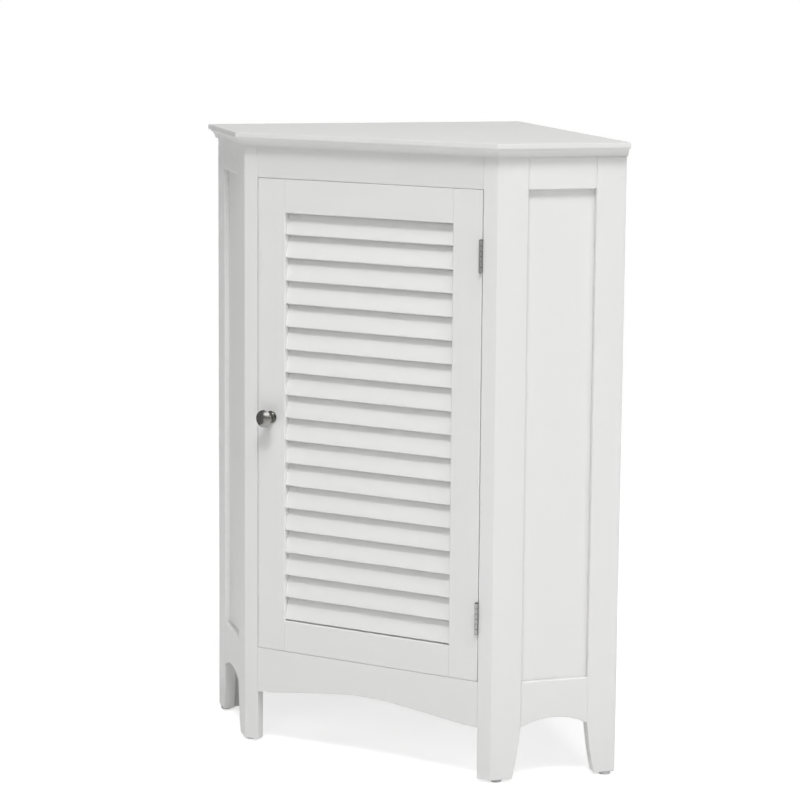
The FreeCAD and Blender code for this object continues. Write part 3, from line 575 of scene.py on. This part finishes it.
def ease(shape, width, chosen, clamp):
    """Round the chosen edges and mark the new faces."""
    mark = shape.faces.layers.float.new(EDGE_NAME)
    made = bmesh.ops.bevel(shape, geom=chosen, offset=width, offset_type="OFFSET", segments=EASE_STEPS,
                           profile=EASE_PROFILE, affect="EDGES", clamp_overlap=clamp)
    for face in made["faces"]:
        face[mark] = 1.0


def sharp_edges(shape):
    """Outside corners of a piece."""
    return [edge for edge in shape.edges
            if edge.is_manifold and edge.is_convex and edge.calc_face_angle() > SHARP]


def eased(node, material, width, outer_only=True):
    """A node in whole faces with its corners eased, as sanding, paint and plating leave them."""
    shape = welded(node)
    bmesh.ops.dissolve_limit(shape, angle_limit=FLAT, verts=shape.verts[:], edges=shape.edges[:])
    chosen = sharp_edges(shape)
    if outer_only:
        faces = outer_faces(shape)
        chosen = [edge for edge in chosen
                  if all(face in faces for face in edge.link_faces) and has_room(edge, width)]
    ease(shape, width, chosen, clamp=not outer_only)
    name = node + "_finished"
    piece = new_piece(name, as_mesh(name, shape))
    weighted = piece.modifiers.new("even_faces", "WEIGHTED_NORMAL")
    weighted.keep_sharp = True
    return finish_piece(piece, material, [node])


def solids(node):
    """Points of each separate solid in a node."""
    shape = welded(node)
    left = dict.fromkeys(shape.verts)
    groups = []
    while left:
        group = []
        queue = [left.popitem()[0]]
        while queue:
            vertex = queue.pop()
            group.append(list(vertex.co))
            for edge in vertex.link_edges:
                other = edge.other_vert(vertex)
                if other in left:
                    del left[other]
                    queue.append(other)
        groups.append(np.array(group))
    shape.free()
    return sorted(groups, key=lambda points: tuple(points.mean(0).round(LEVEL_DIGITS)))


class Bar:
    """Axis, length and radii of a round solid, with its wider end as its head."""

    def __init__(self, points):
        middle = (points.min(0) + points.max(0)) / 2
        centre = points.mean(0)
        axis = np.linalg.svd(points - centre, full_matrices=False)[2][0]
        off_axis = points - centre - np.outer((points - centre) @ axis, axis)
        radius = np.linalg.norm(off_axis, axis=1)
        if self.reach(points @ axis, radius, -1) < self.reach(points @ axis, radius, 0):
            axis = -axis
        along = (points - middle) @ axis
        levels = np.unique(along.round(LEVEL_DIGITS))
        self.axis = Vector(axis)
        self.length = levels[-1] - levels[0]
        self.head = Vector(middle) + self.axis * levels[-1]
        self.middle = Vector(middle) + self.axis * (levels[-1] + levels[0]) / 2
        self.wide = self.reach(along, radius, -1)
        self.narrow = self.reach(along, radius, 0)
        self.head_depth = levels[-1] - levels[-2]
        self.under_head = self.reach(along, radius, -2)

    @staticmethod
    def reach(along, radius, ring):
        """Largest radius of one ring of points, counted from the foot."""
        levels = along.round(LEVEL_DIGITS)
        return radius[levels == np.unique(levels)[ring]].max()


# Geometry Nodes

KINDS = {"float": "NodeSocketFloat", "int": "NodeSocketInt", "material": "NodeSocketMaterial",
         "geometry": "NodeSocketGeometry"}


class Recipe(Tree):
    """A Geometry Nodes tree with named inputs."""

    def __init__(self, name, **kinds):
        super().__init__(bpy.data.node_groups.new(name, "GeometryNodeTree"))
        self.tree.interface.new_socket("Geometry", in_out="OUTPUT", socket_type=KINDS["geometry"])
        self.tree.interface.new_socket("Points", in_out="INPUT", socket_type=KINDS["geometry"])
        self.identifiers = {}
        for title, kind in kinds.items():
            socket = self.tree.interface.new_socket(title, in_out="INPUT", socket_type=KINDS[kind])
            self.identifiers[title] = socket.identifier
        self.start = self.tree.nodes.new("NodeGroupInput")

    def input(self, title):
        """One of the named inputs."""
        return Value(self, self.start.outputs[title])

    def combined(self, **parts):
        """A vector from separate values."""
        return self.node("ShaderNodeCombineXYZ", {}, parts)

    def moved(self, geometry, by):
        """Geometry shifted by a vector."""
        return self.node("GeometryNodeTransform", {}, {"Geometry": geometry, "Translation": by})

    def turned(self, geometry, angles):
        """Geometry turned about the three axes."""
        return self.node("GeometryNodeTransform", {}, {"Geometry": geometry, "Rotation": angles})

    def random(self, low, high, seed):
        """A random number for each point."""
        return self.node("FunctionNodeRandomValue", {"data_type": "FLOAT"},
                         {2: low, 3: high, "Seed": seed}, output=1)

    def bar(self, profile, length):
        """A bar along Z with a profile for its section and its middle at the origin."""
        half = length * 0.5
        core = self.node("GeometryNodeCurvePrimitiveLine", {"mode": "POINTS"},
                         {"Start": self.combined(Z=0.0 - half), "End": self.combined(Z=half)})
        return self.node("GeometryNodeCurveToMesh", {},
                         {"Curve": core, "Profile Curve": profile, "Fill Caps": True})

    def on_points(self, shape):
        """Copies of a shape on the points, turned along each point's axis and spun at random about it."""
        axis = self.node("GeometryNodeInputNamedAttribute", {"data_type": "FLOAT_VECTOR"}, {"Name": "axis"})
        aligned = self.node("FunctionNodeAlignRotationToVector", {"axis": "Z"}, {"Vector": axis})
        spin = self.random(0.0, math.pi, self.input("Seed"))
        spun = self.node("FunctionNodeRotateRotation", {"rotation_space": "LOCAL"},
                         {"Rotation": aligned, "Rotate By": self.combined(Z=spin)})
        return self.node("GeometryNodeInstanceOnPoints", {},
                         {"Points": self.input("Points"), "Instance": shape, "Rotation": spun})

    def finish(self, geometry):
        """End the tree with plain geometry and its material."""
        real = self.node("GeometryNodeRealizeInstances", {}, {"Geometry": geometry})
        dressed = self.node("GeometryNodeSetMaterial", {},
                            {"Geometry": real, "Material": self.input("Material")})
        self.node("NodeGroupOutput", {}, {"Geometry": dressed})

    def bake(self, name, points, axes, material, **values):
        """Run the tree on points, each with an axis, and keep the result as a plain mesh."""
        seed_mesh = bpy.data.meshes.new(name + "_points")
        seed_mesh.from_pydata([tuple(point) for point in points], [], [])
        direction = seed_mesh.attributes.new("axis", "FLOAT_VECTOR", "POINT")
        direction.data.foreach_set("vector", [number for axis in axes for number in axis])
        piece = new_piece(name, seed_mesh)
        modifier = piece.modifiers.new("recipe", "NODES")
        modifier.node_group = self.tree
        modifier[self.identifiers["Material"]] = material
        for title, value in values.items():
            modifier[self.identifiers[title]] = value
        bpy.context.view_layer.update()
        ready = piece.evaluated_get(bpy.context.evaluated_depsgraph_get())
        mesh = bpy.data.meshes.new_from_object(ready)
        piece.modifiers.clear()
        piece.data = mesh
        bpy.data.meshes.remove(seed_mesh)
        return piece


def screw_recipe():
    """Screw with a cross recess; its head lies at the point and its shank runs back along the axis."""
    recipe = Recipe("cross_recess_screw", Head_Top="float", Head_Bottom="float", Head_Depth="float",
                    Shank="float", Length="float", Seed="int", Material="material")
    depth = recipe.input("Head_Depth")
    top = recipe.input("Head_Top")
    length = recipe.input("Length")
    head = recipe.node("GeometryNodeMeshCone", {}, {
        "Vertices": SCREW_SIDES, "Radius Top": top, "Radius Bottom": recipe.input("Head_Bottom"),
        "Depth": depth})
    head = recipe.moved(head, recipe.combined(Z=0.0 - depth))
    shank = recipe.node("GeometryNodeMeshCylinder", {}, {
        "Vertices": SCREW_SIDES, "Radius": recipe.input("Shank"), "Depth": length})
    shank = recipe.moved(shank, recipe.combined(Z=0.0 - depth * 0.5 - length * 0.5))
    wide = top * (2 * RECESS_LENGTH_SHARE)
    narrow = top * (2 * RECESS_WIDTH_SHARE)
    deep = top * (2 * RECESS_DEPTH_SHARE)
    arms = [recipe.node("GeometryNodeMeshCube", {}, {"Size": recipe.combined(X=x, Y=y, Z=deep)})
            for x, y in ((wide, narrow), (narrow, wide))]
    whole = recipe.node("GeometryNodeMeshBoolean", {"operation": "UNION", "solver": "EXACT"},
                        {"Mesh 2": [head, shank]})
    cut = recipe.node("GeometryNodeMeshBoolean", {"operation": "DIFFERENCE", "solver": "EXACT"},
                      {"Mesh 1": whole, "Mesh 2": arms})
    recipe.finish(recipe.on_points(cut))
    return recipe


def dowel_recipe():
    """Fluted dowel with its middle at the point."""
    recipe = Recipe("fluted_dowel", Radius="float", Length="float", Flute_Depth="float", Flutes="int",
                    Seed="int", Material="material")
    radius = recipe.input("Radius")
    star = recipe.node("GeometryNodeCurveStar", {}, {
        "Points": recipe.input("Flutes"), "Outer Radius": radius,
        "Inner Radius": radius - recipe.input("Flute_Depth")})
    recipe.finish(recipe.on_points(recipe.bar(star, recipe.input("Length"))))
    return recipe


def louvre_recipe():
    """Round-edged slats, one above another from the point, each leaning back from its low front edge."""
    recipe = Recipe("louvre_slats", Count="int", Pitch="float", Length="float", Width="float",
                    Thickness="float", Edge="float", Lean="float", Sway="float", Seed="int",
                    Material="material")
    outline = recipe.node("GeometryNodeCurvePrimitiveQuadrilateral", {"mode": "RECTANGLE"},
                          {"Width": recipe.input("Width"), "Height": recipe.input("Thickness")})
    profile = recipe.node("GeometryNodeFilletCurve", {"mode": "POLY"},
                          {"Curve": outline, "Radius": recipe.input("Edge"), "Count": SLAT_ROUNDS})
    slat = recipe.bar(profile, recipe.input("Length"))
    leaning = recipe.turned(slat, recipe.combined(Z=recipe.input("Lean")))
    across = recipe.turned(leaning, (math.pi / 2, 0, math.pi / 2))
    rows = recipe.node("GeometryNodeMeshLine", {}, {
        "Count": recipe.input("Count"), "Offset": recipe.combined(Z=recipe.input("Pitch"))})
    sway = recipe.input("Sway")
    seed = recipe.input("Seed")
    tilt = recipe.random(0.0 - sway, sway, seed)
    stacked = recipe.node("GeometryNodeInstanceOnPoints", {},
                          {"Points": rows, "Instance": across, "Rotation": recipe.combined(X=tilt)})
    tone = recipe.random(-SLAT_TONE_SPREAD, SLAT_TONE_SPREAD, seed + 1)
    marked = recipe.node("GeometryNodeStoreNamedAttribute", {"data_type": "FLOAT", "domain": "INSTANCE"},
                         {"Geometry": stacked, "Name": SLAT_TONE_NAME, "Value": tone})
    set_down = recipe.node("GeometryNodeInstanceOnPoints", {},
                           {"Points": recipe.input("Points"), "Instance": marked})
    recipe.finish(set_down)
    return recipe


def screws(recipe, node, material, seed):
    """Every screw of a node, each where its solid is, with a pan head drawn in at its top."""
    bars = [Bar(points) for points in solids(node)]
    first = bars[0]
    top_share = 1.0 if first.under_head < first.wide else PAN_TOP_SHARE
    piece = recipe.bake(node + "_finished", [bar.head for bar in bars], [bar.axis for bar in bars], material,
                        Head_Top=first.wide * top_share, Head_Bottom=first.under_head,
                        Head_Depth=first.head_depth, Shank=first.narrow,
                        Length=first.length - first.head_depth / 2, Seed=seed)
    return finish_piece(piece, material, [node])


def dowels(recipe, node, material, seed):
    """Every dowel of a node, each where its solid is."""
    bars = [Bar(points) for points in solids(node)]
    first = bars[0]
    piece = recipe.bake(node + "_finished", [bar.middle for bar in bars], [bar.axis for bar in bars],
                        material, Radius=first.wide, Length=first.length, Flute_Depth=FLUTE_DEPTH,
                        Flutes=DOWEL_FLUTES, Seed=seed)
    return finish_piece(piece, material, [node])


def louvres(material):
    """All the slats of the door, with the section of the lowest one."""
    nodes = ["louvre_slat_{:02d}".format(number + 1) for number in range(SLAT_COUNT)]
    low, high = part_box(nodes[0])
    next_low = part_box(nodes[1])[0]
    section = solids(nodes[0])[0][:, 1:]
    axes = np.linalg.svd(section - section.mean(0), full_matrices=False)[2]
    width, thickness = np.ptp(section @ axes.T, axis=0)
    piece = louvre_recipe().bake(
        "louvre_slats_finished", [(low + high) / 2], [(0, 0, 1)], material, Count=SLAT_COUNT,
        Pitch=next_low.z - low.z, Length=high.x - low.x, Width=width, Thickness=thickness,
        Edge=SLAT_EDGE, Lean=math.atan(axes[0][1] / axes[0][0]), Sway=SLAT_SWAY, Seed=SLAT_SEED)
    return finish_piece(piece, material, nodes)


# Knob

def arc(centre, radius, start, end, count):
    """Points of a circular arc in a profile, from one angle in degrees to another."""
    angles = [math.radians(start + (end - start) * step / count) for step in range(count + 1)]
    return [(centre[0] + radius * math.cos(angle), centre[1] + radius * math.sin(angle)) for angle in angles]


def knob_profile(rim, reach):
    """Radius and distance out of a flat base, a waisted neck and a domed face that runs into a round rim."""
    bead_out = KNOB_HEAD_OUT + KNOB_BEAD
    crown = reach - bead_out
    dome = (rim ** 2 + crown ** 2 - KNOB_BEAD ** 2) / (2 * (crown - KNOB_BEAD))
    meeting = math.degrees(math.atan2(dome - crown, rim))
    waist = KNOB_BASE - KNOB_NECK - KNOB_LIP
    rise = KNOB_NECK_OUT - KNOB_BASE_OUT
    flare = KNOB_HEAD_OUT - KNOB_NECK_OUT
    profile = [(0.0, 0.0), (KNOB_BASE, 0.0)]
    profile += arc((KNOB_BASE - KNOB_LIP, KNOB_BASE_OUT - KNOB_LIP), KNOB_LIP, 0, 90, KNOB_ARC)
    profile += [(KNOB_BASE - KNOB_LIP + x * waist, KNOB_NECK_OUT + y * rise)
                for x, y in arc((0.0, 0.0), 1.0, 270, 180, KNOB_ARC)[1:]]
    profile += [(rim + x * (rim - KNOB_NECK), KNOB_NECK_OUT + y * flare)
                for x, y in arc((0.0, 0.0), 1.0, 180, 90, KNOB_ARC)[1:]]
    profile += arc((rim, bead_out), KNOB_BEAD, -90, meeting, KNOB_ARC)[1:]
    profile += arc((0.0, reach - dome), dome, meeting, 90, KNOB_ARC * 2)[1:]
    return profile


def knob():
    """Turned knob, within its solid's size."""
    low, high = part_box("knob")
    centre = Vector(((low.x + high.x) / 2, high.y, (low.z + high.z) / 2))
    profile = knob_profile((high.x - low.x) / 2 - KNOB_BEAD, high.y - low.y)
    shape = bmesh.new()
    points = [shape.verts.new((centre.x + radius, centre.y - out, centre.z)) for radius, out in profile]
    edges = [shape.edges.new(pair) for pair in zip(points, points[1:])]
    bmesh.ops.spin(shape, geom=points + edges, cent=centre, axis=(0, 1, 0), angle=2 * math.pi,
                   steps=KNOB_SPIN, use_merge=True, use_duplicate=False)
    bmesh.ops.remove_doubles(shape, verts=shape.verts[:], dist=MERGE)
    bmesh.ops.recalc_face_normals(shape, faces=shape.faces[:])
    piece = new_piece("knob_finished", as_mesh("knob_finished", shape))
    return finish_piece(piece, turned_nickel(centre), ["knob"])


# Studio

def seen_ray(tree):
    """1 for rays from the camera and for those that shiny faces send on."""
    camera_ray, glossy_ray = (tree.node("ShaderNodeLightPath", output="Is {} Ray".format(kind))
                              for kind in ("Camera", "Glossy"))
    return camera_ray + glossy_ray


def bare_material(name):
    """A material with nothing in its node tree yet, and that tree."""
    material = bpy.data.materials.new(name)
    material.use_nodes = True
    material.node_tree.nodes.clear()
    return material, Tree(material.node_tree)


def white_world():
    """White all round to the eye, with a softer light on the cabinet."""
    world = bpy.data.worlds.new("studio")
    world.use_nodes = True
    world.node_tree.nodes.clear()
    bpy.context.scene.world = world
    tree = Tree(world.node_tree)
    light, white = (tree.node("ShaderNodeBackground", {}, {"Color": WHITE_LIGHT, "Strength": strength})
                    for strength in (AMBIENT, 1.0))
    tree.node("ShaderNodeOutputWorld", {}, {"Surface": tree.mixed(seen_ray(tree), light, white)})


def pale_floor():
    """Round floor that keeps the shadow, fades into the white behind it and lights the cabinet from below."""
    shape = bmesh.new()
    bmesh.ops.create_circle(shape, cap_ends=True, segments=FLOOR_SIDES, radius=FLOOR_RADIUS)
    floor = new_piece("floor", as_mesh("floor", shape))
    material, tree = bare_material("pale_floor")
    matt = tree.node("ShaderNodeBsdfDiffuse", {}, {"Color": (FLOOR_TONE, FLOOR_TONE, FLOOR_TONE, 1)})
    distance = tree.length(tree.place())
    fade = (distance - FLOOR_NEAR) / (FLOOR_FAR - FLOOR_NEAR)
    lifted = tree.node("ShaderNodeAddShader", {}, {0: matt, 1: tree.glow(FLOOR_LIFT)})
    faded = tree.mixed(fade, lifted, tree.glow(1.0))
    nearby = tree.ramp(distance, FLOOR_SHADE, FLOOR_NEAR, 0.0, FLOOR_BOUNCE)
    far = tree.ramp(distance, FLOOR_NEAR, FLOOR_FAR, 1.0, 0.0)
    lit = tree.node("ShaderNodeAddShader", {}, {0: matt, 1: tree.glow(nearby * far)})
    tree.node("ShaderNodeOutputMaterial", {}, {"Surface": tree.mixed(seen_ray(tree), lit, faded)})
    floor.data.materials.append(material)


def reflection_card(name, line, low, high, tone):
    """Upright card for reflections alone, so that metal has dark and bright sides."""
    mesh = bpy.data.meshes.new(name)
    corners = [(*point, height) for point in line for height in (low, high)]
    mesh.from_pydata(corners, [], [(at, at + 2, at + 3, at + 1) for at in range(0, len(corners) - 2, 2)])
    material, tree = bare_material(name)
    tree.node("ShaderNodeOutputMaterial", {}, {"Surface": tree.glow(tone)})
    mesh.materials.append(material)
    card = new_piece(name, mesh)
    card.visible_camera = False
    card.visible_diffuse = False
    card.visible_shadow = False
    card.visible_transmission = False


def soft_lamp(name, turn, rise, size, power):
    """Large round lamp that faces the cabinet's middle."""
    lamp = bpy.data.lights.new(name, "AREA")
    lamp.shape = "DISK"
    lamp.size = size
    lamp.energy = power
    light = new_piece(name, lamp)
    light.visible_glossy = name in SHINING_LAMPS
    turn, rise = math.radians(turn), math.radians(rise)
    out = Vector((math.sin(turn) * math.cos(rise), -math.cos(turn) * math.cos(rise), math.sin(rise)))
    light.location = Vector((0, 0, AIM_HEIGHT)) + out * LAMP_DISTANCE
    light.rotation_euler = out.to_track_quat("Z", "Y").to_euler()


def camera():
    """Camera at the photograph's place, with its centre row shifted as the photograph is framed."""
    lens = bpy.data.cameras.new("camera")
    lens.sensor_width = SENSOR_MM
    lens.lens = CAMERA_FOCUS / PICTURE * SENSOR_MM
    lens.shift_y = (CAMERA_CENTRE_ROW - PICTURE / 2) / PICTURE
    eye = new_piece("camera", lens)
    turn = Matrix.Rotation(CAMERA_YAW, 4, "Z") @ Matrix.Rotation(math.pi / 2 + CAMERA_PITCH, 4, "X")
    eye.matrix_world = Matrix.Translation(CAMERA_AT) @ turn @ Matrix.Rotation(CAMERA_ROLL, 4, "Z")
    bpy.context.scene.camera = eye


# Cabinet

def carcass():
    """Painted wood of the standing cabinet and its shelf."""
    upright = paint("upright_paint", UPRIGHT)
    front = paint("front_rail_paint", ALONG_FRONT)
    right = paint("right_rail_paint", ALONG_SIDE)
    left = paint("left_rail_paint", -ALONG_SIDE)
    # The top board gets painted shade, and its top face more
    top = paint("top_paint", ALONG_FRONT, TOP_SATIN, TOP_GLOSS, TOP_BOARD_SHADE,
                shaded_height=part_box("top_board")[1].z)
    for side, rail in (("left", left), ("right", right)):
        eased("front_{}_post".format(side), upright, POST_EASE)
        eased("rear_{}_stile".format(side), upright, SIDE_EASE)
        eased("rear_{}_batten".format(side), upright, FRAME_EASE)
        eased("{}_top_rail".format(side), rail, SIDE_EASE)
        eased("{}_bottom_rail".format(side), rail, SIDE_EASE)
        eased("{}_side_panel".format(side), upright, PANEL_EASE)
    eased("back_corner_post", upright, FRAME_EASE)
    # The front top rail gets painted shade from under the moulding
    eased("front_top_rail", paint("front_top_rail_paint", ALONG_FRONT, tone=RAIL_SHADE), FRAME_EASE)
    eased("front_apron", front, FRAME_EASE)
    eased("top_board", top, TOP_EASE)
    eased("bottom_board", front, BOARD_EASE)
    eased("shelf_board", paint("shelf_paint_film", ALONG_FRONT, SHELF_SATIN), BOARD_EASE)
    back = painted_back()
    for node in ("left_back_panel", "right_back_panel"):
        eased(node, back, PANEL_EASE)


def door():
    """Painted frame and slats of the door, and its knob."""
    upright = paint("door_stile_paint", UPRIGHT, DOOR_SATIN)
    across = paint("door_rail_paint", ALONG_FRONT, DOOR_SATIN)
    eased("door_left_stile", upright, DOOR_EASE)
    eased("door_right_stile", upright, DOOR_EASE)
    eased("door_top_rail", across, DOOR_EASE)
    eased("door_bottom_rail", across, DOOR_EASE)
    louvres(paint("slat_paint_film", ALONG_FRONT, DOOR_SATIN, tone_name=SLAT_TONE_NAME))
    knob()


def hardware():
    """Metal and plastic fittings, screws and dowels."""
    # The hinge pins' plate is near black, painted shade in the knuckle seams
    hinge, hinge_pin, zinc, pin = (plated(name, *look) for name, look in PLATES.items())
    glide, catch = (moulded(name, *look) for name, look in PLASTICS.items())
    fittings = {
        "hinge_frame_leaves": hinge, "hinge_door_leaves": hinge, "hinge_pins": hinge_pin,
        "top_brackets": zinc, "strike_plate": zinc, "shelf_pins": pin, "foot_glides": glide,
        "catch_housing": catch, "catch_magnet": ferrite(),
    }
    for node, material in fittings.items():
        eased(node, material, HARDWARE_EASE, outer_only=False)
    screw = screw_recipe()
    screw_metals = {
        "back_panel_screws": zinc, "bracket_screws": zinc, "frame_screws": hinge, "door_screws": hinge,
        "knob_screw": zinc,
    }
    for seed, (node, material) in enumerate(screw_metals.items()):
        screws(screw, node, material, seed)
    peg = dowel_recipe()
    wood = beech()
    for seed, node in enumerate(("frame_dowels", "door_dowels")):
        dowels(peg, node, wood, seed)


bpy.context.scene.view_settings.view_transform = "Standard"
white_world()
pale_floor()
for name, settings in CARDS.items():
    reflection_card(name, *settings)
for name, settings in LAMPS.items():
    soft_lamp(name, *settings)
camera()
carcass()
door()
hardware()
